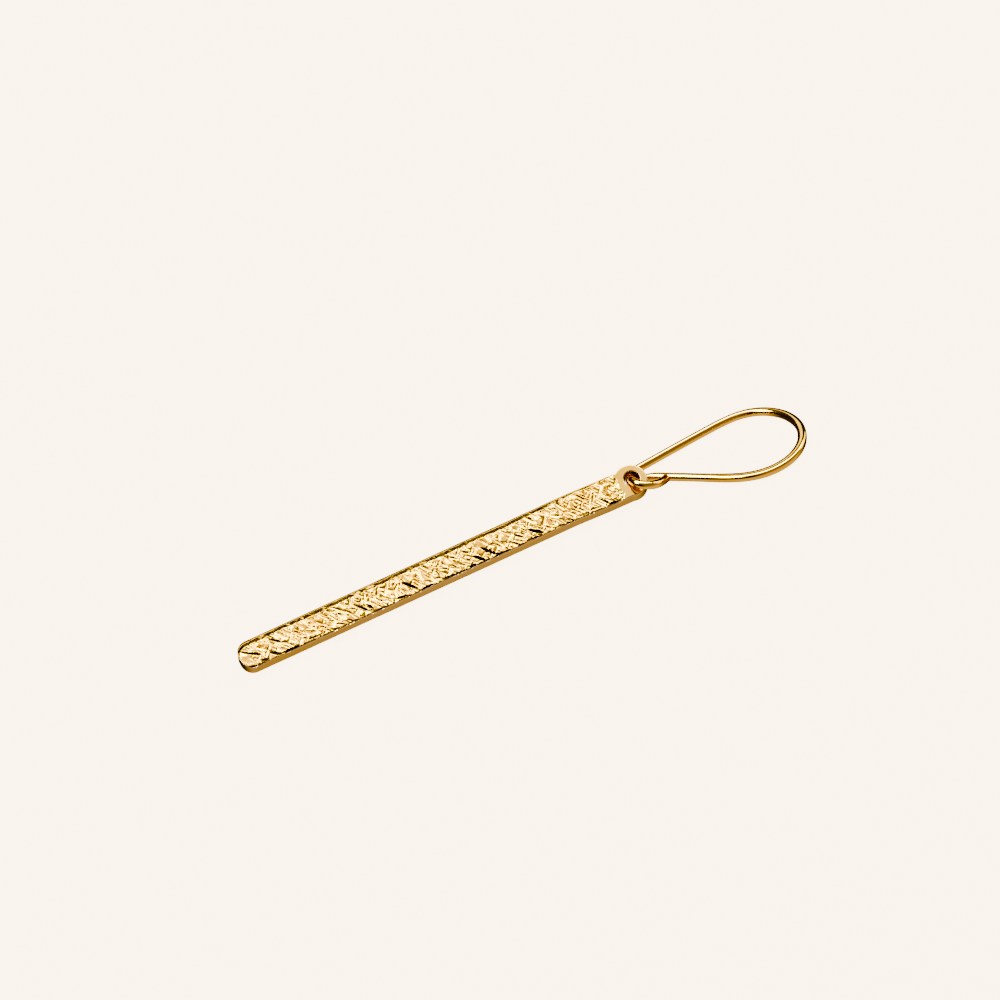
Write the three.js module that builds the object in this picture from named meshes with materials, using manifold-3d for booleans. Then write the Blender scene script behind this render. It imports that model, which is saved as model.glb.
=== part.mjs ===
// Dangle earring: a long textured bar that hangs by its eye from the small ring
// of a teardrop ear wire. Millimetres, +Z up, lying on a table at z = 0.
// +X runs along the bar towards the ear wire, +Y towards the bar's far edge.
//
// The ear wire's loop lies flat on the table. Its small ring passes through the
// bar's eye and props that end, so the bar rests on its near lower edge, with
// its textured face leaning towards -Y.

import * as THREE from 'three';
import Module from 'manifold-3d';
import { mergeVertices } from 'three/addons/utils/BufferGeometryUtils.js';

// ---- bar -------------------------------------------------------------------
const BAR_TIP = 40.32;        // eye hole centre to the lower end
const BAR_WIDTH = 2.9;
const BAR_THICK = 1.38;
const BAR_AXIS = -0.08;       // bar's middle line, beside the eye hole's centre
const BAR_SWAY = -0.14;       // sideways drift of the last few millimetres below the eye
const BAR_SWAY_FROM = -7.0;
const BAR_SWAY_TO = -1.9;
const BAR_EDGE = 0.09;        // broken edge all round, also at the hole
const END_DEPTH = 1.2;        // length of the rounding at the lower end
const END_SQUARE = 2.2;       // 2 is a half ellipse, more is squarer
const EYE_RADIUS = 1.58;
const EYE_X = -0.2;
const EYE_Y = -0.15;
const EYE_ARC_START = -106;   // degrees, where the near edge runs into the eye
const EYE_ARC_END = 128;      // and where the far edge leaves it
const HOLE_RADIUS = 0.74;
const BAR_TILT = 29.65;       // face leans this far towards -Y, degrees
const BAR_PITCH = 0.15;       // the eye end is propped this much, degrees
const EYE_HEIGHT = 2.009;     // hole centre on the face, above the table

// ---- ear wire --------------------------------------------------------------
const WIRE = 0.8;             // wire diameter, 20 gauge
const SECTION_SIDES = 12;
const STATIONS = 112;
const END_ROUND = 0.2;        // filed tail end
const SEAM = 0.03;            // hairline where the ring's cut end meets the leg
const CUT_LENGTH = 0.4;       // straight stretch at that end

// Middle line of the wire, from the plain tail under the bar, round the loop and
// down the front leg. The loop is flat on the table, so z is half the height.
// width lies in the loop's plane, height across it, square is 2 for a round
// section and more where the wire is flattened.
const LOOP = [
  //  x       y      width  height square
  [-2.00, 2.560, 0.80, 0.80, 2.0],
  [0.20, 2.850, 0.80, 0.80, 2.0],
  [2.43, 3.145, 0.80, 0.80, 2.0],
  [5.64, 3.566, 0.80, 0.80, 2.0],
  [8.85, 3.945, 0.80, 0.80, 2.0],
  [10.46, 4.090, 0.80, 0.80, 2.0],
  [12.03, 4.045, 0.81, 0.80, 2.0],
  [13.52, 3.590, 0.83, 0.79, 2.1],
  [14.88, 2.590, 0.85, 0.78, 2.2],
  [15.96, 0.970, 0.86, 0.78, 2.4],
  [16.36, -1.300, 0.86, 0.78, 2.6],
  [15.60, -3.640, 0.86, 0.78, 2.8],
  [14.15, -5.040, 0.88, 0.78, 3.0],
  [12.50, -5.590, 0.90, 0.78, 3.0],
  [10.92, -5.520, 0.92, 0.78, 2.8],
  [9.45, -4.980, 0.90, 0.78, 2.6],
  [8.06, -4.090, 0.87, 0.79, 2.4],
  [6.74, -3.020, 0.83, 0.80, 2.1],
  [5.46, -1.900, 0.80, 0.80, 2.0],
  [4.16, -0.768, 0.80, 0.80, 2.0],
];

// The small ring, from the foot of the front leg, under the eye's rim, up
// through the hole, over the rim and back until its end meets the leg.
const RING = [
  //  x       y       z
  [3.537, -0.240, 0.402],
  [2.924, 0.280, 0.410],
  [2.320, 0.755, 0.418],
  [1.690, 1.100, 0.410],
  [1.040, 1.210, 0.412],
  [0.420, 1.070, 0.555],
  [0.025, 0.770, 0.955],
  [-0.125, 0.400, 1.450],
  [-0.175, -0.060, 1.890],
  [-0.155, -0.620, 2.185],
  [-0.020, -1.205, 2.215],
  [0.400, -1.680, 2.090],
  [0.980, -1.890, 1.860],
  [1.580, -1.770, 1.555],
  [2.110, -1.390, 1.215],
  [2.580, -0.880, 0.880],
  [2.985, -0.345, 0.575],
];

const GOLD = new THREE.MeshStandardMaterial({ color: 0xd9a548, roughness: 0.28, metalness: 1.0 });
const GOLD_WIRE = new THREE.MeshStandardMaterial({ color: 0xdca63e, roughness: 0.12, metalness: 1.0 });

const smooth = (t) => { const k = Math.min(1, Math.max(0, t)); return k * k * (3 - 2 * k); };

// ---- bar: outline with an eye, one plate with broken edges -------------------
function barAxis(x) {
  return BAR_AXIS + BAR_SWAY * smooth((x - BAR_SWAY_FROM) / (BAR_SWAY_TO - BAR_SWAY_FROM));
}

function barOutline() {
  const half = BAR_WIDTH / 2;
  const points = [];
  // lower end: a blunt rounded end, from the far edge round to the near edge
  for (let i = -12; i <= 12; i++) {
    const a = i / 12 * Math.PI / 2;
    points.push(new THREE.Vector2(
      -BAR_TIP + END_DEPTH * (1 - Math.cos(a) ** (2 / END_SQUARE)),
      BAR_AXIS - Math.sign(a) * half * Math.abs(Math.sin(a)) ** (2 / END_SQUARE),
    ));
  }
  // near edge, up to the eye
  const along = [-36, -30, -24, -18, -12, -8, -6.6, -5.6, -4.6, -3.6, -2.6, -1.9];
  for (const x of along) points.push(new THREE.Vector2(x, barAxis(x) - half));
  // the eye: a wide arc from the near edge round to the far edge
  const start = THREE.MathUtils.degToRad(EYE_ARC_START);
  const end = THREE.MathUtils.degToRad(EYE_ARC_END);
  for (let i = 0; i <= 30; i++) {
    const a = start + (end - start) * i / 30;
    points.push(new THREE.Vector2(EYE_X + EYE_RADIUS * Math.cos(a), EYE_Y + EYE_RADIUS * Math.sin(a)));
  }
  // far edge, from the slight neck under the eye down to the lower end
  for (const x of along.reverse()) points.push(new THREE.Vector2(x, barAxis(x) + half));
  return points;
}

function barGeometry() {
  const shape = new THREE.Shape(barOutline());
  const hole = new THREE.Path();
  hole.absarc(0, 0, HOLE_RADIUS, 0, Math.PI * 2, true);
  shape.holes.push(hole);
  const geometry = new THREE.ExtrudeGeometry(shape, {
    depth: BAR_THICK - 2 * BAR_EDGE,
    bevelEnabled: true,
    bevelSize: BAR_EDGE,
    bevelThickness: BAR_EDGE,
    bevelOffset: -BAR_EDGE,
    bevelSegments: 1,
    curveSegments: 24,
  });
  geometry.translate(0, 0, -(BAR_THICK - BAR_EDGE)); // face at z = 0, back at -BAR_THICK
  return geometry;
}

// ---- ear wire: one section swept along the middle line ----------------------
function wireGeometry() {
  const path = new THREE.CatmullRomCurve3([
    ...LOOP.map(([x, y, , h]) => new THREE.Vector3(x, y, h / 2)),
    ...RING.map(([x, y, z]) => new THREE.Vector3(x, y, z)),
  ], false, 'centripetal');
  path.arcLengthDivisions = 4000;
  const total = path.getLength();
  const knots = LOOP.length + RING.length - 1;
  const lengths = path.getLengths(4000);
  const knotLength = (i) => lengths[Math.round(4000 * i / knots)];
  const table = LOOP.map((row, i) => [knotLength(i), row[2], row[3], row[4]]);

  const sectionAt = (s) => {
    for (let i = 0; i + 1 < table.length; i++) {
      if (s <= table[i + 1][0]) {
        const k = smooth((s - table[i][0]) / (table[i + 1][0] - table[i][0]));
        return [1, 2, 3].map((j) => table[i][j] + (table[i + 1][j] - table[i][j]) * k);
      }
    }
    return [WIRE, WIRE, 2];
  };

  // stations: even steps, then finer round the ring, and two on the filed tail
  const ringFrom = knotLength(LOOP.length - 1);
  const stations = [0, END_ROUND * 0.35, END_ROUND];
  const loopSteps = Math.round(STATIONS * 0.56);
  const ringSteps = STATIONS - loopSteps;
  for (let i = 1; i <= loopSteps; i++) stations.push(END_ROUND + (ringFrom - END_ROUND) * i / loopSteps);
  for (let i = 1; i <= ringSteps; i++) {
    const at = ringFrom + (total - ringFrom) * i / ringSteps;
    if (i === ringSteps || at < total - CUT_LENGTH) stations.push(at);
  }

  // the ring's end is cut flush with the side of the leg that it meets
  const foot = new THREE.Vector3();
  const legLine = new THREE.Line3(path.points[LOOP.length], path.points[LOOP.length + 1]);
  legLine.closestPointToPoint(path.getPointAt(1), false, foot);
  const cut = path.getPointAt(1).sub(foot).normalize();
  const cutAt = foot.clone().addScaledVector(cut, WIRE / 2 + SEAM);

  const positions = [];
  const up = new THREE.Vector3(0, 0, 1);
  stations.forEach((s, k) => {
    const u = Math.min(1, s / total);
    const centre = path.getPointAt(u);
    const along = path.getTangentAt(u).normalize();
    up.addScaledVector(along, -up.dot(along)).normalize(); // carried along without twist
    const side = new THREE.Vector3().crossVectors(up, along);
    const [width, height, square] = sectionAt(s);
    const shrink = k === 0 ? 0.45 : k === 1 ? 0.78 : 1;
    for (let j = 0; j < SECTION_SIDES; j++) {
      const a = (j + 0.5) * Math.PI * 2 / SECTION_SIDES;
      const power = 2 / square;
      // corners of the section touch the true outline, sides run between them
      const px = Math.sign(Math.cos(a)) * Math.abs(Math.cos(a)) ** power * width / 2 * shrink;
      const py = Math.sign(Math.sin(a)) * Math.abs(Math.sin(a)) ** power * height / 2 * shrink
        / Math.sin((Math.floor(SECTION_SIDES / 4) + 0.5) * Math.PI * 2 / SECTION_SIDES) ** power;
      const corner = centre.clone().addScaledVector(side, px).addScaledVector(up, py);
      if (k === stations.length - 1) {
        corner.addScaledVector(along, cutAt.clone().sub(corner).dot(cut) / along.dot(cut));
      }
      positions.push(corner.x, corner.y, corner.z);
    }
  });
  const index = [];
  const n = SECTION_SIDES;
  for (let k = 0; k + 1 < stations.length; k++) {
    for (let j = 0; j < n; j++) {
      const a = k * n + j;
      const b = k * n + (j + 1) % n;
      index.push(a, b, a + n, b, b + n, a + n);
    }
  }
  for (let j = 1; j + 1 < n; j++) { // flat caps
    index.push(0, j + 1, j);
    const last = (stations.length - 1) * n;
    index.push(last, last + j, last + j + 1);
  }
  const geometry = new THREE.BufferGeometry();
  geometry.setAttribute('position', new THREE.Float32BufferAttribute(positions, 3));
  geometry.setIndex(index);
  return geometry;
}

// One closed body with shared vertices and its faces pointing out.
const wasm = await Module();
wasm.setup();
function solid(geometry) {
  geometry.deleteAttribute('normal');
  geometry.deleteAttribute('uv');
  const merged = mergeVertices(geometry, 1e-5);
  const body = new wasm.Manifold(new wasm.Mesh({
    numProp: 3,
    vertProperties: new Float32Array(merged.attributes.position.array),
    triVerts: new Uint32Array(merged.index.array),
  }));
  const mesh = body.getMesh();
  const out = new THREE.BufferGeometry();
  out.setAttribute('position', new THREE.BufferAttribute(new Float32Array(mesh.vertProperties), 3));
  out.setIndex(new THREE.BufferAttribute(new Uint32Array(mesh.triVerts), 1));
  out.computeVertexNormals();
  return out;
}

const bar = new THREE.Mesh(solid(barGeometry()), GOLD);
bar.name = 'bar_pendant';
bar.position.set(0, 0, EYE_HEIGHT);
bar.rotation.set(THREE.MathUtils.degToRad(BAR_TILT), -THREE.MathUtils.degToRad(BAR_PITCH), 0, 'YXZ');

const wire = new THREE.Mesh(solid(wireGeometry()), GOLD_WIRE);
wire.name = 'ear_wire';

const earring = new THREE.Group();
earring.add(bar, wire);

// Set the origin under the middle of the whole earring, on the table.
const drop = (mesh) => {
  mesh.updateMatrixWorld(true);
  const box = new THREE.Box3().setFromObject(mesh, true);
  mesh.position.z -= box.min.z;
};
drop(bar);
drop(wire);
earring.updateMatrixWorld(true);
const box = new THREE.Box3().setFromObject(earring, true);
earring.position.set(-(box.min.x + box.max.x) / 2, -(box.min.y + box.max.y) / 2, -box.min.z);

export default earring;
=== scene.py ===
import math
import bpy
import numpy as np
from mathutils import Matrix, Vector
from mathutils.geometry import tessellate_polygon


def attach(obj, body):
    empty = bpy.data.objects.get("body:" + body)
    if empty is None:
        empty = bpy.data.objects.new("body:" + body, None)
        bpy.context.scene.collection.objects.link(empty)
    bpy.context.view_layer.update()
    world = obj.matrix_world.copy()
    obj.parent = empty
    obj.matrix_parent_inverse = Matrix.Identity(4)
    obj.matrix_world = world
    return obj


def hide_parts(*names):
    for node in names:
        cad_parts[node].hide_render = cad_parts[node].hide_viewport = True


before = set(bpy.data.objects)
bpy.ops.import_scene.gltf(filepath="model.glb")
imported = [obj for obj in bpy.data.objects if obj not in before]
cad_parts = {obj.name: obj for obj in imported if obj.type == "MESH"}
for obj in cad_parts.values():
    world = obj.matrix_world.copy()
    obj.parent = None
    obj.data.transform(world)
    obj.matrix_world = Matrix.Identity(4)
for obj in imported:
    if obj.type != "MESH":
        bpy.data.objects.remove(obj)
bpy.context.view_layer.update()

MM = 0.001
RNG = np.random.default_rng(11)

# ---- where the parts lie (millimetres, row frame) -----------------------------
SHIFT = np.array([11.77075, 0.78517, 0.0])      # eye hole's place over the origin
EYE = SHIFT + np.array([0.0, 0.0, 2.01408])     # hole centre on the bar's face
AX_U = np.array([1.0, 0.0, 0.00262])            # along the bar, towards the ear wire
AX_V = np.array([-0.0013, 0.86906, 0.4947])     # across the face, towards the far edge
AX_N = np.array([-0.00228, -0.4947, 0.86906])   # out of the face
WIRE_LIFT = 0.00071

# ---- bar sizes -----------------------------------------------------------------
BAR_TIP, HALF, THICK, EDGE = 40.32, 1.45, 1.38, 0.09
END_DEPTH, END_SQUARE = 1.2, 2.2
EYE_R, EYE_X, EYE_Y = 1.58, -0.2, -0.15
ARC_FROM, ARC_TO = math.radians(-106), math.radians(128)
HOLE_R = 0.74
JOIN = -2.0                                      # straight grid below, fan round the hole above
STEP = 0.042


def smooth(t):
    t = np.clip(t, 0, 1)
    return t * t * (3 - 2 * t)


def axis(x):
    return -0.08 - 0.14 * smooth((np.asarray(x, float) + 7.0) / 5.1)


def half_width(x):
    """Half the width of the bar at x, with the rounded lower end."""
    k = np.clip(1 - (np.asarray(x, float) + BAR_TIP) / END_DEPTH, 0, 1)
    return HALF * (1 - k ** END_SQUARE) ** (1 / END_SQUARE)


# ---- relief of the face: overlapping chisel cuts, deepest one wins ---------------
RES = 0.02
GX0, GY0 = -40.6, -1.75
NX, NY = int((40.6 + 0.2) / RES), int(3.4 / RES)
gx = GX0 + RES * np.arange(NX)
gy = GY0 + RES * np.arange(NY)
GX, GY = np.meshgrid(gx, gy, indexing="ij")


def value_noise(x, y, scale, seed):
    """Smooth lattice noise from 0 to 1."""
    r = np.random.default_rng(seed).random((256, 256))
    xs, ys = x / scale + 1000, y / scale + 1000
    xi, yi = np.floor(xs).astype(int), np.floor(ys).astype(int)
    fx, fy = smooth(xs - xi), smooth(ys - yi)
    a, b = r[xi % 256, yi % 256], r[(xi + 1) % 256, yi % 256]
    c, d = r[xi % 256, (yi + 1) % 256], r[(xi + 1) % 256, (yi + 1) % 256]
    return (a * (1 - fx) + b * fx) * (1 - fy) + (c * (1 - fx) + d * fx) * fy


relief = -0.012 * value_noise(GX, GY, 0.55, 3)
# painted shade: how dark each cut is coloured, standing in for the shade inside it
painted_cut_shade = np.zeros_like(relief)


def cut(cx, cy, angle, half_len, half_wid, depth, lean, dark=0.0, power=1.0):
    """One chisel cut: two flat flanks that meet off centre, run out at both ends; dark paints shade into the cut."""
    reach = max(half_len, half_wid) + 0.02
    i0, i1 = max(0, int((cx - reach - GX0) / RES)), min(NX, int((cx + reach - GX0) / RES) + 2)
    j0, j1 = max(0, int((cy - reach - GY0) / RES)), min(NY, int((cy + reach - GY0) / RES) + 2)
    if i0 >= i1 or j0 >= j1:
        return
    dx, dy = GX[i0:i1, j0:j1] - cx, GY[i0:i1, j0:j1] - cy
    ca, sa = math.cos(angle), math.sin(angle)
    t, s = (dx * ca + dy * sa) / half_len, (-dx * sa + dy * ca) / half_wid
    run = np.sqrt(np.clip(1 - t * t, 0, 1))
    flank = np.minimum((run + s) / (1 + lean), (run - s) / (1 - lean))
    shape = np.clip(flank, 0, 1) ** power
    part = relief[i0:i1, j0:j1]
    np.minimum(part, -depth * shape, out=part)
    # paint shade into the cut
    if dark:
        mark = painted_cut_shade[i0:i1, j0:j1]
        np.maximum(mark, dark * smooth((shape - 0.03) / 0.16), out=mark)


for _ in range(640):                              # broad scoops
    cross = RNG.random() < 0.18
    cut(RNG.uniform(-40.5, -1.3), RNG.uniform(-1.65, 1.5),
        math.radians(RNG.normal(55, 14) if cross else -RNG.normal(57, 12)),
        RNG.uniform(0.28, 0.75), RNG.uniform(0.11, 0.25), RNG.uniform(0.04, 0.11),
        RNG.uniform(-0.8, 0.8), power=0.85)
for _ in range(300):                              # sharper strokes
    cross = RNG.random() < 0.15
    cut(RNG.uniform(-40.4, -1.5), RNG.uniform(-1.6, 1.45),
        math.radians(RNG.normal(55, 16) if cross else -RNG.normal(56, 11)),
        RNG.uniform(0.22, 0.75), RNG.uniform(0.05, 0.10), RNG.uniform(0.05, 0.10), RNG.uniform(-0.6, 0.6))
for _ in range(60):                               # pits, with painted shade in them
    r = RNG.uniform(0.045, 0.09)
    cut(RNG.uniform(-40.3, -1.7), RNG.uniform(-1.5, 1.4), RNG.uniform(0, 3.1), r * RNG.uniform(1, 1.6), r,
        RNG.uniform(0.05, 0.09), 0.0, dark=RNG.uniform(0.1, 0.6), power=0.7)

for _ in range(60):                               # short ticks with painted shade, more of them towards the near edge
    cut(RNG.uniform(-40.0, -2.2), 1.2 - 2.6 * RNG.random() ** 0.6, math.radians(-RNG.normal(52, 13)),
        RNG.uniform(0.10, 0.30), RNG.uniform(0.05, 0.09), RNG.uniform(0.08, 0.12),
        0.2, dark=RNG.uniform(0.25, 0.85), power=0.8)

# The main deep strokes: from x, y to x, y (millimetres from the hole), half width, depth, darkness of their painted
# shade
DEEP = [
    (-23.62, 0.10, -22.50, -1.11, 0.095, 0.15, 1.00),
    (-16.57, -0.44, -15.66, -1.40, 0.105, 0.15, 1.00),
    (-15.54, -0.08, -14.48, -1.31, 0.090, 0.14, 1.00),
    (-10.82, -0.37, -9.70, -1.26, 0.115, 0.15, 1.00),
    (-17.22, 0.33, -16.79, 0.06, 0.070, 0.11, 0.90),
    (-18.40, -0.21, -17.54, -1.02, 0.070, 0.11, 0.70),
    (-12.97, -0.56, -12.15, -1.48, 0.065, 0.12, 0.85),
    (-12.21, -0.28, -11.67, -0.73, 0.075, 0.12, 0.95),
    (-3.48, -0.68, -2.91, -1.41, 0.065, 0.12, 0.90),
    (-24.69, -1.16, -23.73, -1.30, 0.080, 0.12, 1.00),
    (-22.18, -1.40, -21.01, -1.36, 0.090, 0.13, 1.00),
    (-20.11, -1.26, -18.75, -1.41, 0.080, 0.12, 0.95),
    (-17.25, -1.25, -16.65, -1.40, 0.080, 0.12, 1.00),
    (-14.46, -1.27, -13.72, -1.42, 0.080, 0.12, 1.00),
    (-11.45, -1.33, -10.06, -1.43, 0.080, 0.12, 0.95),
    (-2.91, -1.40, -2.20, -1.50, 0.085, 0.12, 1.00),
    (-1.65, -1.40, 0.13, -1.50, 0.050, 0.08, 0.90),
    (-4.78, -1.25, -3.70, -1.37, 0.140, 0.09, 0.45),
    (-6.28, -1.16, -4.96, -1.39, 0.080, 0.10, 0.60),
    (-7.83, -0.69, -7.39, -0.97, 0.070, 0.10, 0.50),
    (-7.20, -1.06, -6.57, -1.50, 0.080, 0.10, 0.55),
    (-8.69, -1.29, -7.16, -1.45, 0.060, 0.10, 0.85),
    (-7.12, -0.16, -6.86, -0.36, 0.060, 0.09, 0.50),
    (-19.42, 0.18, -19.45, 0.03, 0.080, 0.10, 0.50),
    (-18.59, 0.59, -18.70, 0.30, 0.110, 0.10, 0.45),
    (-19.54, -0.36, -19.21, -0.53, 0.070, 0.10, 0.80),
    (-20.17, -0.17, -20.05, -0.23, 0.080, 0.10, 0.85),
    (-20.19, -0.48, -20.18, -0.82, 0.070, 0.10, 0.85),
    (-20.53, -0.92, -20.14, -1.07, 0.060, 0.10, 0.80),
    (-20.53, -0.05, -20.45, -0.10, 0.070, 0.09, 0.70),
    (-28.17, -0.27, -27.57, -0.99, 0.090, 0.13, 1.00),
    (-27.39, -0.50, -27.05, -1.09, 0.080, 0.13, 0.95),
    (-29.51, -0.00, -28.87, -0.82, 0.075, 0.12, 0.85),
    (-28.20, 0.72, -27.83, 0.28, 0.070, 0.10, 0.70),
    (-37.03, 0.55, -36.13, -0.30, 0.085, 0.12, 0.95),
    (-36.13, -0.30, -35.65, -0.57, 0.060, 0.10, 0.60),
    (-39.67, 0.27, -38.32, -0.58, 0.085, 0.13, 1.00),
    (-37.51, -0.74, -36.62, -1.41, 0.100, 0.13, 0.95),
    (-38.52, -1.17, -37.82, -1.38, 0.100, 0.12, 0.90),
    (-40.22, -1.17, -39.07, -1.50, 0.090, 0.11, 1.00),
    (-36.64, -1.33, -34.70, -1.30, 0.075, 0.11, 1.00),
    (-33.70, -1.22, -32.16, -1.22, 0.060, 0.10, 0.90),
    (-30.72, -1.00, -29.93, -1.49, 0.160, 0.09, 0.45),
    (-34.52, 0.06, -34.24, -0.31, 0.060, 0.09, 0.70),
    (-34.04, -0.86, -33.82, -1.04, 0.070, 0.09, 0.80),
]
for x0, y0, x1, y1, w, d, dark in DEEP:
    cut((x0 + x1) / 2, (y0 + y1) / 2, math.atan2(y1 - y0, x1 - x0),
        math.hypot(x1 - x0, y1 - y0) / 2 + 0.08, w * 1.7, d, 0.2, dark, 0.7)

# the bright smooth facet at the lower end
facet = smooth((-39.05 + 0.3 * GY - GX) / 0.25) * smooth((0.15 - GY) / 0.25)
relief = relief * (1 - 0.75 * facet) - 0.02 * facet
# far edge worn to a slope, ragged where it meets the texture; near edge barely broken
far_gap = (axis(GX) + half_width(GX)) - GY
ragged = (0.54 - 0.30 * smooth((GX + 13) / 10) + 0.20 * (value_noise(GX, GY, 1.7, 5) - 0.5)
          + 0.09 * (value_noise(GX, GY, 0.30, 6) - 0.5))
slope = np.clip(ragged - far_gap, 0, 1)
# far_edge marks the worn far slope; the materials also colour it dark olive as painted shade
far_edge = smooth(slope / 0.05)
relief = np.minimum(relief, relief * 0.3 - 0.42 * slope - 0.03 * far_edge)
near_gap = GY - (axis(GX) - half_width(GX))
nick = 0.165 + 0.15 * (value_noise(GX, GY, 0.50, 9) - 0.5)
relief = relief - 0.6 * np.clip(nick - near_gap, 0, 0.2)
# painted shade: a dark line along the broken near edge, in patches
near_edge_painted_shade = smooth((nick - near_gap) / 0.035) * smooth((value_noise(GX, GY * 0, 0.7, 21) - 0.33) / 0.12)
# texture stops where the polished eye begins
fade = smooth((-1.28 + 0.12 * np.sin(GY * 5) - GX) / 0.28)
relief, painted_cut_shade = relief * fade, painted_cut_shade * fade
far_edge, near_edge_painted_shade = far_edge * fade, near_edge_painted_shade * fade
relief = np.clip(relief, -0.24, 0)


def sample(grid, x, y):
    fx = np.clip((np.asarray(x) - GX0) / RES, 0, NX - 1.001)
    fy = np.clip((np.asarray(y) - GY0) / RES, 0, NY - 1.001)
    i, j = fx.astype(int), fy.astype(int)
    a, b = fx - i, fy - j
    value = (grid[i, j] * (1 - a) * (1 - b) + grid[i + 1, j] * a * (1 - b)
             + grid[i, j + 1] * (1 - a) * b + grid[i + 1, j + 1] * a * b)
    return np.where(np.asarray(x) > -1.2, 0.0, value)


# ---- bar mesh ----------------------------------------------------------------------
verts, faces, zone = [], [], []                  # zone: 0 face, 1 sides and back, 2 polished eye


def add(points):
    start = len(verts)
    verts.extend(points)
    return list(range(start, start + len(points)))


def face_points(x, y):
    z = sample(relief, x, y)
    return list(zip(x.tolist(), y.tolist(), np.asarray(z).tolist()))


ROWS = 66
rows01 = np.linspace(1, -1, ROWS + 1)
first = -BAR_TIP + EDGE
tip_columns = first + END_DEPTH * (1 - np.cos(np.linspace(0.035, 1, 34)[:-1] * math.pi / 2)) * 1.0
columns = np.concatenate([tip_columns, np.arange(first + END_DEPTH, JOIN - 0.5 * STEP, STEP), [JOIN]])


def inset_half(x):
    """Half width of the face inside its broken edge."""
    k = np.clip(1 - (x + BAR_TIP - EDGE) / (END_DEPTH - 0.02), 0, 1)
    return (HALF - EDGE) * (1 - k ** END_SQUARE) ** (1 / END_SQUARE)


grid = []
for x in columns:
    y = axis(x) + inset_half(x) * rows01
    grid.append(add(face_points(np.full(ROWS + 1, x), y)))
for a, b in zip(grid, grid[1:]):
    for j in range(ROWS):
        faces.append((a[j], a[j + 1], b[j + 1], b[j]))
        zone.append(0)

# fan round the hole: from the straight grid's last column and round the eye's outline
join_y = axis(JOIN) + inset_half(np.array(JOIN)) * rows01


def eye_outline(inset):
    """Outline of the eye, counter-clockwise from the near edge at JOIN to the far edge at JOIN."""
    pts = []
    start = np.array([JOIN, float(axis(JOIN)) - HALF + inset])
    end = np.array([JOIN, float(axis(JOIN)) + HALF - inset])
    r = EYE_R - inset
    arc = [np.array([EYE_X + r * math.cos(t), EYE_Y + r * math.sin(t)])
           for t in np.linspace(ARC_FROM, ARC_TO, 150)]
    for k in np.linspace(0, 1, 30)[:-1]:
        mid = np.array([(start[0] + arc[0][0]) / 2, start[1] + 0.01])
        pts.append((1 - k) ** 2 * start + 2 * k * (1 - k) * mid + k * k * arc[0])
    pts += arc
    for k in np.linspace(0, 1, 14)[1:]:
        pts.append((1 - k) * arc[-1] + k * end)
    return np.array(pts)


outer_eye = eye_outline(EDGE)
rim = np.vstack([outer_eye[:-1], np.column_stack([np.full(ROWS, JOIN), join_y[:-1]])])
n_eye = len(outer_eye)                           # rim runs near edge -> eye -> far edge -> down the join
RINGS = 34
angles = np.arctan2(rim[:, 1], rim[:, 0])
hole_face = np.column_stack([np.cos(angles), np.sin(angles)]) * (HOLE_R + EDGE)
fan = []
for k in range(RINGS):
    f = k / RINGS
    p = hole_face * (1 - f) + rim * f
    fan.append(add(face_points(p[:, 0], p[:, 1])))
rim_ids = add(face_points(outer_eye[1:-1, 0], outer_eye[1:-1, 1]))
rim_loop = [grid[-1][ROWS]] + rim_ids + grid[-1][:-1]
fan.append(rim_loop)
count = len(rim_loop)
for a, b in zip(fan, fan[1:]):
    for j in range(count):
        k = (j + 1) % count
        faces.append((a[j], b[j], b[k], a[k]))
        zone.append(2)

# edge loop of the face, counter-clockwise seen from the front
near_side = [g[ROWS] for g in grid[:-1]]
far_side = [g[0] for g in grid[:-1]][::-1]
loop = near_side + [grid[-1][ROWS]] + rim_ids + [grid[-1][0]] + far_side
loop_xy = np.array([verts[i][:2] for i in loop])
ahead, behind = np.roll(loop_xy, -1, 0), np.roll(loop_xy, 1, 0)
tangent = ahead - behind
tangent /= np.linalg.norm(tangent, axis=1)[:, None]
outward = np.column_stack([tangent[:, 1], -tangent[:, 0]])
for _ in range(3):
    outward = (np.roll(outward, 1, 0) + outward * 2 + np.roll(outward, -1, 0)) / 4
outward /= np.linalg.norm(outward, axis=1)[:, None]
edge_h = sample(relief, loop_xy[:, 0], loop_xy[:, 1])
wave = 0.012 * value_noise(loop_xy[:, 0], loop_xy[:, 1], 0.8, 31) + 0.008 * value_noise(loop_xy[:, 0], loop_xy[:, 1], 0.25, 33)
wave = wave * smooth((-1.2 - loop_xy[:, 0]) / 0.6)


def ring_at(out, z, share):
    xy = loop_xy + outward * (out - wave * min(1, out / EDGE))[:, None]
    zz = z + edge_h * share
    return add(list(zip(xy[:, 0].tolist(), xy[:, 1].tolist(), np.clip(zz, -THICK, 0).tolist())))


SIDES = [(0.035, -0.008, 0.95), (0.066, -0.028, 0.8), (0.083, -0.056, 0.6), (0.089, -0.09, 0.4),
         (0.089, -0.35, 0.1), (0.089, -0.7, 0), (0.089, -1.05, 0), (0.089, -1.29, 0),
         (0.080, -1.335, 0), (0.055, -1.365, 0), (0.015, -1.38, 0)]
previous = loop
for out, z, share in SIDES:
    ids = ring_at(out, z, share)
    for j in range(len(loop)):
        k = (j + 1) % len(loop)
        faces.append((previous[j], ids[j], ids[k], previous[k]))
        zone.append(1)
    previous = ids
back_outer = previous
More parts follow.
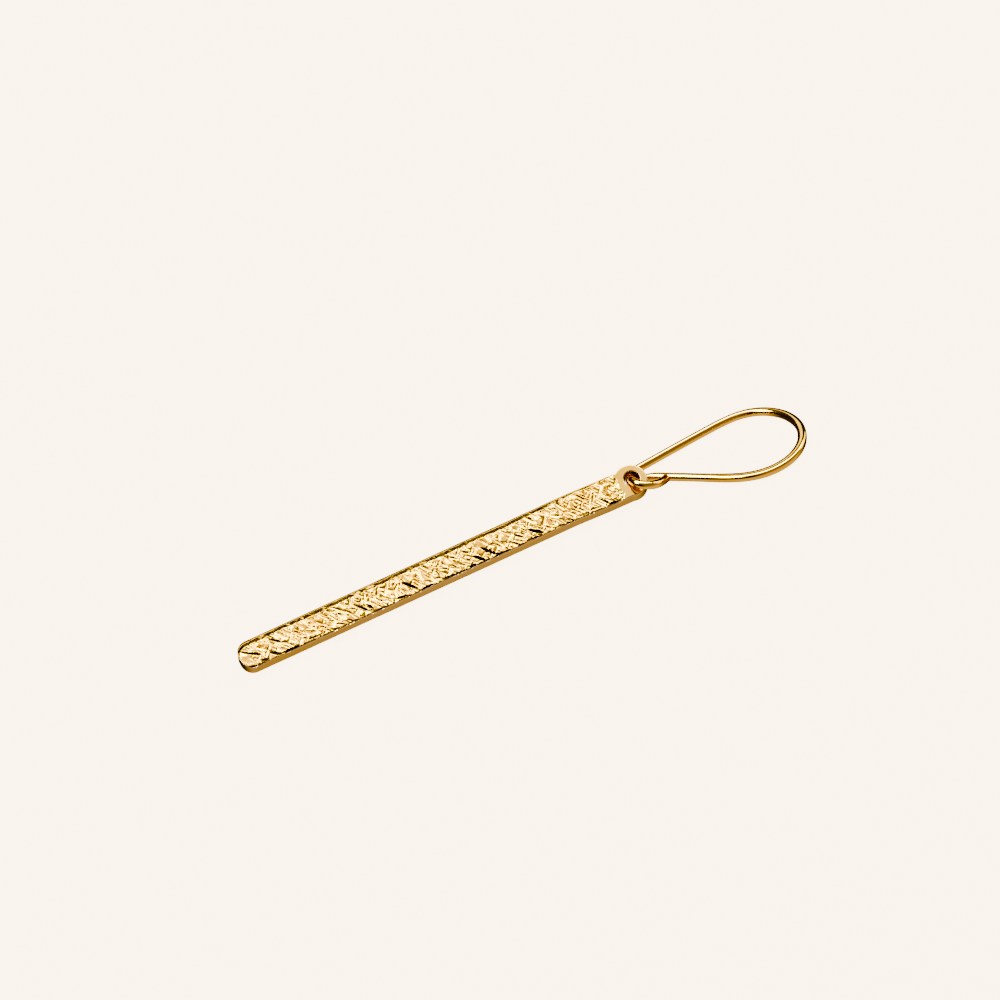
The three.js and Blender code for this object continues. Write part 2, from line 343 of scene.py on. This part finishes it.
# hole wall
previous = fan[0]
for r, z in [(HOLE_R + 0.045, -0.012), (HOLE_R + 0.018, -0.036), (HOLE_R + 0.004, -0.068), (HOLE_R, -0.11),
             (HOLE_R, -0.4), (HOLE_R, -0.7), (HOLE_R, -1.0), (HOLE_R, -1.27), (HOLE_R + 0.004, -1.312),
             (HOLE_R + 0.018, -1.344), (HOLE_R + 0.045, -1.368), (HOLE_R + 0.09, -1.38)]:
    ids = add([(math.cos(t) * r, math.sin(t) * r, z) for t in angles])
    for j in range(count):
        k = (j + 1) % count
        faces.append((previous[j], previous[k], ids[k], ids[j]))
        zone.append(1)
    previous = ids
back_hole = previous
rings = [[Vector((*verts[i][:2], 0)) for i in back_outer], [Vector((*verts[i][:2], 0)) for i in back_hole[::-1]]]
flat = back_outer + back_hole[::-1]
for a, b, c in tessellate_polygon(rings):
    va, vb, vc = (np.array(verts[flat[i]][:2]) for i in (a, b, c))
    turn = (vb[0] - va[0]) * (vc[1] - va[1]) - (vb[1] - va[1]) * (vc[0] - va[0])
    if abs(turn) > 1e-12:
        faces.append((flat[a], flat[c], flat[b]) if turn > 0 else (flat[a], flat[b], flat[c]))
        zone.append(1)

local = np.array(verts)
world = (EYE + local[:, :1] * AX_U + local[:, 1:2] * AX_V + local[:, 2:] * AX_N) * MM


def make_mesh(name, points, polys, sharp_deg):
    mesh = bpy.data.meshes.new(name)
    mesh.from_pydata([tuple(p) for p in points], [], polys)
    mesh.validate()
    mesh.update()
    mesh.polygons.foreach_set("use_smooth", [True] * len(mesh.polygons))
    if sharp_deg:
        mesh.set_sharp_from_angle(angle=math.radians(sharp_deg))
    obj = bpy.data.objects.new(name, mesh)
    bpy.context.scene.collection.objects.link(obj)
    return obj


bar = make_mesh("bar_surface", world, faces, 38)
# per-point values for the materials: depth and the three masks drive painted shade in the colour
for label, values in (
    ("depth", np.clip(-local[:, 2] / 0.14, 0, 1)),
    ("painted_cut_shade", sample(painted_cut_shade, local[:, 0], local[:, 1]) * (local[:, 2] > -0.3)),
    ("far_edge", sample(far_edge, local[:, 0], local[:, 1]) * (local[:, 2] > -0.3)),
    ("near_edge_painted_shade", sample(near_edge_painted_shade, local[:, 0], local[:, 1]) * (local[:, 2] > -0.2)),
):
    bar.data.attributes.new(label, "FLOAT", "POINT").data.foreach_set("value", np.asarray(values, np.float32))

# ---- ear wire -------------------------------------------------------------------------
# middle line as x, y, width, height, square; z is half the height
LOOP = [
    (-2.00, 2.560, .80, .80, 2.0), (0.20, 2.850, .80, .80, 2.0), (2.43, 3.145, .80, .80, 2.0),
    (5.64, 3.566, .80, .80, 2.0), (8.85, 3.945, .80, .80, 2.0), (10.46, 4.090, .80, .80, 2.0),
    (12.03, 4.045, .81, .80, 2.0), (13.52, 3.590, .83, .79, 2.1), (14.88, 2.590, .85, .78, 2.2),
    (15.96, 0.970, .86, .78, 2.4), (16.36, -1.300, .86, .78, 2.6), (15.60, -3.640, .86, .78, 2.8),
    (14.15, -5.040, .88, .78, 3.0), (12.50, -5.590, .90, .78, 3.0), (10.92, -5.520, .92, .78, 2.8),
    (9.45, -4.980, .90, .78, 2.6), (8.06, -4.090, .87, .79, 2.4), (6.74, -3.020, .83, .80, 2.1),
    (5.46, -1.900, .80, .80, 2.0), (4.16, -0.768, .80, .80, 2.0),
]
RING = [
    (3.537, -0.240, 0.402), (2.924, 0.280, 0.410), (2.320, 0.755, 0.418), (1.690, 1.100, 0.410),
    (1.040, 1.210, 0.412), (0.420, 1.070, 0.555), (0.025, 0.770, 0.955), (-0.125, 0.400, 1.450),
    (-0.175, -0.060, 1.890), (-0.155, -0.620, 2.185), (-0.020, -1.205, 2.215), (0.400, -1.680, 2.090),
    (0.980, -1.890, 1.860), (1.580, -1.770, 1.555), (2.110, -1.390, 1.215), (2.580, -0.880, 0.880),
    (2.985, -0.345, 0.575),
]
WIRE, SEAM = 0.8, 0.03
knots = np.array([(x, y, h / 2) for x, y, _, h, _ in LOOP] + [list(r) for r in RING])


def catmull_rom(p, per=60):
    """The centripetal curve through the points, with its knot number at each sample."""
    q = np.vstack([2 * p[0] - p[1], p, 2 * p[-1] - p[-2]])
    out, num = [], []
    for i in range(len(p) - 1):
        p0, p1, p2, p3 = q[i:i + 4]
        d0, d1, d2 = (np.linalg.norm(b - a) ** 0.5 for a, b in ((p0, p1), (p1, p2), (p2, p3)))
        t1 = ((p1 - p0) / d0 - (p2 - p0) / (d0 + d1) + (p2 - p1) / d1) * d1
        t2 = ((p2 - p1) / d1 - (p3 - p1) / (d1 + d2) + (p3 - p2) / d2) * d1
        for t in np.arange(per) / per:
            out.append(p1 + t1 * t + (-3 * p1 + 3 * p2 - 2 * t1 - t2) * t * t + (2 * p1 - 2 * p2 + t1 + t2) * t ** 3)
            num.append(i + t)
    return np.array(out + [p[-1]]), np.array(num + [len(p) - 1.0])


raw, number = catmull_rom(knots)
length = np.concatenate([[0], np.cumsum(np.linalg.norm(np.diff(raw, axis=0), axis=1))])
even = np.linspace(0, length[-1], 3000)
line = np.column_stack([np.interp(even, length, raw[:, i]) for i in range(3)])
line_no = np.interp(even, length, number)
ds = even[1]
spread = int(0.5 / ds)                            # soften the joins between spans
kernel = np.exp(-0.5 * (np.arange(-spread, spread + 1) * ds / 0.16) ** 2)
kernel /= kernel.sum()
padded = np.vstack([2 * line[0] - line[spread:0:-1], line, 2 * line[-1] - line[-2:-spread - 2:-1]])
line = np.column_stack([np.convolve(padded[:, i], kernel, "valid") for i in range(3)])

END_LEN = 0.28
total = even[-1]
stations = np.concatenate([END_LEN * (1 - np.cos(np.linspace(0, 1, 8)[1:] * math.pi / 2)),
                           np.linspace(END_LEN, total - 0.34, 560)[1:], [total - 0.22, total - 0.1, total]])
SECTION = 44
rows = np.arange(len(LOOP))
table = np.array([[w, h, s] for _, _, w, h, s in LOOP])
centre = np.column_stack([np.interp(stations, even, line[:, i]) for i in range(3)])
at = np.interp(stations, even, line_no)
tang = np.gradient(line, axis=0)
tang = np.column_stack([np.interp(stations, even, tang[:, i]) for i in range(3)])
tang /= np.linalg.norm(tang, axis=1)[:, None]
leg_a, leg_b = np.array(RING[0]), np.array(RING[1])
leg = (leg_b - leg_a) / np.linalg.norm(leg_b - leg_a)
foot = leg_a + leg * ((line[-1] - leg_a) @ leg)
cut_dir = (line[-1] - foot) / np.linalg.norm(line[-1] - foot)
cut_at = foot + cut_dir * (WIRE / 2 + SEAM)

wv, wf = [], []
up = np.array([0.0, 0.0, 1.0])
angle_list = (np.arange(SECTION) + 0.5) * 2 * math.pi / SECTION
for k, s in enumerate(stations):
    up = up - tang[k] * (up @ tang[k])
    up /= np.linalg.norm(up)
    side = np.cross(up, tang[k])
    width, height, square = (np.interp(min(at[k], len(LOOP) - 1), rows, table[:, i]) for i in range(3))
    if at[k] > len(LOOP) - 1:
        width, height, square = WIRE, WIRE, 2.0
    shrink = 1.0
    if s < END_LEN:
        shrink = math.sqrt(max(0.0, 1 - ((END_LEN - s) / END_LEN) ** 2)) * 0.62 + 0.38
    end_left = total - s
    power = 2 / square
    ca, sa = np.cos(angle_list), np.sin(angle_list)
    px = np.sign(ca) * np.abs(ca) ** power * width / 2 * 0.985 * shrink
    py = np.sign(sa) * np.abs(sa) ** power * height / 2 * 0.995 * shrink
    ring = centre[k] + np.outer(px, side) + np.outer(py, up)
    if k == len(stations) - 1:
        ring = ring + np.outer(((cut_at - ring) @ cut_dir) / (tang[k] @ cut_dir), tang[k])
    wv.extend(ring.tolist())
for k in range(len(stations) - 1):
    for j in range(SECTION):
        a, b = k * SECTION + j, k * SECTION + (j + 1) % SECTION
        wf.append((a, b, b + SECTION, a + SECTION))
wf.append(tuple(range(SECTION))[::-1])
last = (len(stations) - 1) * SECTION
wf.append(tuple(range(last, last + SECTION)))
wire_points = (np.array(wv) + SHIFT + np.array([0, 0, WIRE_LIFT])) * MM
wire_points[:, 2] = np.maximum(wire_points[:, 2], 0.0)
wire = make_mesh("ear_wire_surface", wire_points, wf, 40)


# ---- materials -----------------------------------------------------------------------------
def metal(name):
    mat = bpy.data.materials.new(name)
    mat.use_nodes = True
    tree = mat.node_tree
    bsdf = next(n for n in tree.nodes if n.type == "BSDF_PRINCIPLED")
    bsdf.inputs["Metallic"].default_value = 1.0
    bsdf.inputs["Specular Tint"].default_value = (0.34, 0.20, 0.06, 1)   # darker towards the outline
    return mat, tree, bsdf


def noise(tree, coord, scale, detail=3.0, stretch=None, turn=0.0):
    mapping = tree.nodes.new("ShaderNodeMapping")
    mapping.inputs["Scale"].default_value = stretch or (1, 1, 1)
    mapping.inputs["Rotation"].default_value = (0, 0, turn)
    tree.links.new(coord, mapping.inputs["Vector"])
    n = tree.nodes.new("ShaderNodeTexNoise")
    n.inputs["Scale"].default_value = scale
    n.inputs["Detail"].default_value = detail
    tree.links.new(mapping.outputs["Vector"], n.inputs["Vector"])
    return n.outputs["Fac"]


def remap(tree, value, a, b, c, d):
    m = tree.nodes.new("ShaderNodeMapRange")
    for key, v in zip(("From Min", "From Max", "To Min", "To Max"), (a, b, c, d)):
        m.inputs[key].default_value = v
    tree.links.new(value, m.inputs["Value"])
    return m.outputs["Result"]


def mix(tree, fac, a, b, blend="MIX"):
    m = tree.nodes.new("ShaderNodeMix")
    m.data_type = "RGBA"
    m.blend_type = blend
    if isinstance(fac, float):
        m.inputs["Factor"].default_value = fac
    else:
        tree.links.new(fac, m.inputs["Factor"])
    a_in = [i for i in m.inputs if i.name == "A" and i.type == "RGBA"][0]
    b_in = [i for i in m.inputs if i.name == "B" and i.type == "RGBA"][0]
    for socket, value in ((a_in, a), (b_in, b)):
        if isinstance(value, tuple):
            socket.default_value = (*value, 1)
        else:
            tree.links.new(value, socket)
    return [o for o in m.outputs if o.type == "RGBA"][0]


def attribute(tree, label):
    n = tree.nodes.new("ShaderNodeAttribute")
    n.attribute_name = label
    return n.outputs["Fac"]


def bump(tree, bsdf, height, strength, distance):
    b = tree.nodes.new("ShaderNodeBump")
    b.inputs["Strength"].default_value = strength
    b.inputs["Distance"].default_value = distance
    tree.links.new(height, b.inputs["Height"])
    tree.links.new(b.outputs["Normal"], bsdf.inputs["Normal"])


GOLD, AMBER, OLIVE, BLACK = (0.95, 0.59, 0.10), (0.87, 0.455, 0.05), (0.19, 0.105, 0.013), (0.004, 0.002, 0.001)

# textured face
face_mat, t, bsdf = metal("gold_chiselled")
coord = t.nodes.new("ShaderNodeTexCoord").outputs["Object"]
mottle = noise(t, coord, 700, 4)
colour = mix(t, remap(t, mottle, 0.35, 0.7, 0.0, 1.0), GOLD, AMBER)
# painted shade: the deeper a cut, the darker its colour
colour = mix(t, remap(t, attribute(t, "depth"), 0.35, 1.0, 0.0, 0.75), colour, (0.52, 0.28, 0.05))
# painted shade: the far slope coloured dark olive
colour = mix(t, remap(t, attribute(t, "far_edge"), 0.0, 1.0, 0.0, 0.8), colour, OLIVE)
# painted shade: a black line along the near edge
colour = mix(t, remap(t, attribute(t, "near_edge_painted_shade"), 0.2, 1.0, 0.0, 0.9), colour, BLACK)
# painted shade: cuts and pits coloured towards black
colour = mix(t, attribute(t, "painted_cut_shade"), colour, BLACK)
t.links.new(colour, bsdf.inputs["Base Color"])
t.links.new(remap(t, noise(t, coord, 1500, 3), 0.3, 0.7, 0.12, 0.26), bsdf.inputs["Roughness"])
bump(t, bsdf, noise(t, coord, 9000, 5), 0.25, 0.00003)

# smooth sides and back
side_mat, t, bsdf = metal("gold_side")
coord = t.nodes.new("ShaderNodeTexCoord").outputs["Object"]
colour = mix(t, remap(t, noise(t, coord, 420, 3, (0.25, 1, 1)), 0.3, 0.7, 0.0, 1.0), (0.76, 0.52, 0.25), (0.68, 0.45, 0.19))
# painted shade: the far slope coloured dark
colour = mix(t, remap(t, attribute(t, "far_edge"), 0.0, 1.0, 0.0, 0.85), colour, (0.16, 0.085, 0.010))
t.links.new(colour, bsdf.inputs["Base Color"])
t.links.new(remap(t, noise(t, coord, 1300, 4, (0.15, 1, 1)), 0.3, 0.7, 0.16, 0.34), bsdf.inputs["Roughness"])
bump(t, bsdf, noise(t, coord, 3500, 5, (0.12, 1, 1)), 0.3, 0.00003)

# polished eye, faintly brushed
eye_mat, t, bsdf = metal("gold_polished")
coord = t.nodes.new("ShaderNodeTexCoord").outputs["Object"]
colour = mix(t, remap(t, noise(t, coord, 500, 3), 0.35, 0.7, 0.0, 1.0), (0.97, 0.665, 0.135), (0.94, 0.605, 0.10))
# painted shade: the deeper a cut, the darker its colour
colour = mix(t, remap(t, attribute(t, "depth"), 0.3, 1.0, 0.0, 0.7), colour, (0.52, 0.28, 0.05))
# painted shade: the far slope coloured dark olive
colour = mix(t, remap(t, attribute(t, "far_edge"), 0.0, 1.0, 0.0, 0.8), colour, OLIVE)
# painted shade: cuts and pits coloured towards black
colour = mix(t, attribute(t, "painted_cut_shade"), colour, BLACK)
t.links.new(colour, bsdf.inputs["Base Color"])
t.links.new(remap(t, noise(t, coord, 1400, 4, (0.3, 1, 1), 0.6), 0.3, 0.7, 0.09, 0.2), bsdf.inputs["Roughness"])
bump(t, bsdf, noise(t, coord, 1100, 5, (0.5, 1, 1), 0.5), 0.25, 0.00009)

# wire
wire_mat, t, bsdf = metal("gold_wire")
coord = t.nodes.new("ShaderNodeTexCoord").outputs["Object"]
colour = mix(t, remap(t, noise(t, coord, 450, 3), 0.35, 0.7, 0.0, 1.0), (0.93, 0.57, 0.14), (0.86, 0.48, 0.09))
t.links.new(colour, bsdf.inputs["Base Color"])
t.links.new(remap(t, noise(t, coord, 900, 4, (0.3, 1, 1), 0.8), 0.3, 0.7, 0.05, 0.13), bsdf.inputs["Roughness"])
bump(t, bsdf, noise(t, coord, 800, 4, (0.4, 1, 1), 0.8), 0.2, 0.00004)

bar.data.materials.append(face_mat)
bar.data.materials.append(side_mat)
bar.data.materials.append(eye_mat)
index = np.array(zone, np.int32)
if len(index) == len(bar.data.polygons):
    bar.data.polygons.foreach_set("material_index", index)
wire.data.materials.append(wire_mat)

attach(bar, "root")
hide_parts("bar_pendant")
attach(wire, "root")
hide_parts("ear_wire")

# ---- floor, light, camera ----------------------------------------------------------------
floor_mesh = bpy.data.meshes.new("floor")
floor_mesh.from_pydata([(-3, -3, 0), (3, -3, 0), (3, 3, 0), (-3, 3, 0)], [], [(0, 1, 2, 3)])
floor = bpy.data.objects.new("floor", floor_mesh)
floor.location.z = -0.00002
bpy.context.scene.collection.objects.link(floor)
paper = bpy.data.materials.new("paper")
paper.use_nodes = True
shader = next(n for n in paper.node_tree.nodes if n.type == "BSDF_PRINCIPLED")
shader.inputs["Base Color"].default_value = (0.10, 0.097, 0.093, 1)
shader.inputs["Roughness"].default_value = 1.0
shader.inputs["Specular IOR Level"].default_value = 0.0
shader.inputs["Emission Color"].default_value = (1.0, 0.83, 0.57, 1)
shader.inputs["Emission Strength"].default_value = 2.75
floor_mesh.materials.append(paper)
pt = paper.node_tree
place = pt.nodes.new("ShaderNodeMapping")          # a soft painted shadow on the paper behind the eye: its glow is turned down there
place.vector_type = "TEXTURE"
place.inputs["Location"].default_value = (0.01227, 0.00345, 0)
place.inputs["Scale"].default_value = (0.0012, 0.0016, 1)
pt.links.new(pt.nodes.new("ShaderNodeTexCoord").outputs["Object"], place.inputs["Vector"])
away = pt.nodes.new("ShaderNodeVectorMath")
away.operation = "LENGTH"
pt.links.new(place.outputs["Vector"], away.inputs[0])
glow_with_painted_shadow = pt.nodes.new("ShaderNodeMapRange")
glow_with_painted_shadow.interpolation_type = "SMOOTHSTEP"
for key, v in zip(("From Min", "From Max", "To Min", "To Max"), (0.35, 1.0, 0.12, 2.95)):
    glow_with_painted_shadow.inputs[key].default_value = v
pt.links.new(away.outputs["Value"], glow_with_painted_shadow.inputs["Value"])
pt.links.new(glow_with_painted_shadow.outputs["Result"], shader.inputs["Emission Strength"])
floor.visible_glossy = False                     # the metal mirrors the studio, not the sheet

world_shade = bpy.data.worlds.new("studio")
bpy.context.scene.world = world_shade
world_shade.use_nodes = True
wt = world_shade.node_tree
background = next(n for n in wt.nodes if n.type == "BACKGROUND")
direction = wt.nodes.new("ShaderNodeTexCoord")
parts = wt.nodes.new("ShaderNodeSeparateXYZ")
wt.links.new(direction.outputs["Generated"], parts.inputs[0])


height = wt.nodes.new("ShaderNodeMapRange")
height.inputs["From Min"].default_value = -1.0
wt.links.new(parts.outputs["Z"], height.inputs["Value"])


def sky(stops):
    """Brightness by height above the horizon, for one side of the studio."""
    ramp = wt.nodes.new("ShaderNodeValToRGB")
    ramp.color_ramp.interpolation = "EASE"
    while len(ramp.color_ramp.elements) < len(stops):
        ramp.color_ramp.elements.new(0.5)
    for element, (pos, level, warm) in zip(ramp.color_ramp.elements, stops):
        element.position = pos
        element.color = (level, level * (1 - 0.06 * warm), level * (1 - 0.14 * warm), 1)
    wt.links.new(height.outputs["Result"], ramp.inputs["Fac"])
    return ramp.outputs["Color"]


near_sky = sky([(0.0, 0.80, 1), (0.35, 0.65, 1), (0.47, 0.40, 1.5), (0.54, 0.30, 2), (0.78, 0.26, 2),
                (0.88, 0.16, 1.5), (0.955, 0.42, 1.5), (0.992, 1.15, 1.5)])
left_sky = sky([(0.0, 0.80, 1), (0.35, 0.65, 1), (0.46, 0.40, 1), (0.505, 0.005, 1), (0.83, 0.008, 1),
                (0.90, 0.14, 1.5), (0.955, 0.42, 1.5), (0.992, 1.15, 1.5)])
rear_sky = sky([(0.0, 0.80, 1), (0.06, 0.60, 1), (0.15, 0.12, 2), (0.40, 0.05, 2), (0.62, 0.03, 2), (0.84, 0.05, 2),
                (0.95, 0.22, 1.5), (0.992, 1.15, 1.5)])
left_of = wt.nodes.new("ShaderNodeMapRange")
for key, v in zip(("From Min", "From Max", "To Min", "To Max"), (-0.50, -0.12, 0.0, 1.0)):
    left_of.inputs[key].default_value = v
wt.links.new(parts.outputs["X"], left_of.inputs["Value"])
near_sky = mix(wt, left_of.outputs["Result"], left_sky, near_sky)
side_of = wt.nodes.new("ShaderNodeMapRange")
for key, v in zip(("From Min", "From Max", "To Min", "To Max"), (-0.25, 0.25, 0.0, 1.0)):
    side_of.inputs[key].default_value = v
wt.links.new(parts.outputs["Y"], side_of.inputs["Value"])
blend = wt.nodes.new("ShaderNodeMix")
blend.data_type = "RGBA"
wt.links.new(side_of.outputs["Result"], blend.inputs["Factor"])
for socket, source in zip([i for i in blend.inputs if i.type == "RGBA"], (near_sky, rear_sky)):
    wt.links.new(source, socket)
wt.links.new([o for o in blend.outputs if o.type == "RGBA"][0], background.inputs["Color"])
background.inputs["Strength"].default_value = 1.0


def softbox(name, toward, distance, size, strength, colour=(1, 1, 1)):
    """A soft light that looks at the middle of the earring; strength is its brightness."""
    d = Vector(toward).normalized()
    data = bpy.data.lights.new(name, "AREA")
    data.shape = "RECTANGLE"
    data.size, data.size_y = size
    data.energy = strength * math.pi * size[0] * size[1]
    data.color = colour
    obj = bpy.data.objects.new(name, data)
    obj.location = d * distance
    obj.rotation_euler = d.to_track_quat("Z", "Y").to_euler()
    bpy.context.scene.collection.objects.link(obj)


softbox("rear_top", (-0.06, 0.23, 0.97), 0.5, (0.46, 0.19), 9.0, (0.93, 1.0, 0.97))
softbox("rear_right", (0.55, 0.24, 0.80), 0.5, (0.24, 0.30), 6.5, (0.93, 1.0, 0.97))
softbox("left_top", (-0.54, -0.12, 0.833), 0.5, (0.20, 0.19), 8.0, (0.93, 1.0, 0.97))
softbox("rear_low", (0.147, 0.786, 0.60), 0.6, (0.26, 0.06), 1.8, (0.95, 1.0, 0.97))
softbox("right_low", (0.95, 0.22, 0.24), 0.5, (0.34, 0.30), 2.6, (1.0, 0.97, 0.90))

to_camera = Vector((-0.14655, -0.78646, 0.60000)).normalized()
right = Vector((0.90025, -0.35739, -0.24856))
up_axis = Vector((0.40991, 0.50372, 0.76039))
target = Vector((EYE + np.array([-11.813, 3.332, 1.482])) * MM)
cam_data = bpy.data.cameras.new("camera")
cam_data.sensor_width = 36
cam_data.lens = 500
cam_data.clip_start, cam_data.clip_end = 0.01, 20
camera = bpy.data.objects.new("camera", cam_data)
distance = 0.09259 * cam_data.lens / cam_data.sensor_width
camera.matrix_world = Matrix.Translation(target + to_camera * distance) @ Matrix((right, up_axis, to_camera)).transposed().to_4x4()
bpy.context.scene.collection.objects.link(camera)
bpy.context.scene.camera = camera
bpy.context.scene.view_settings.view_transform = "AgX"
bpy.context.scene.view_settings.look = "AgX - High Contrast"
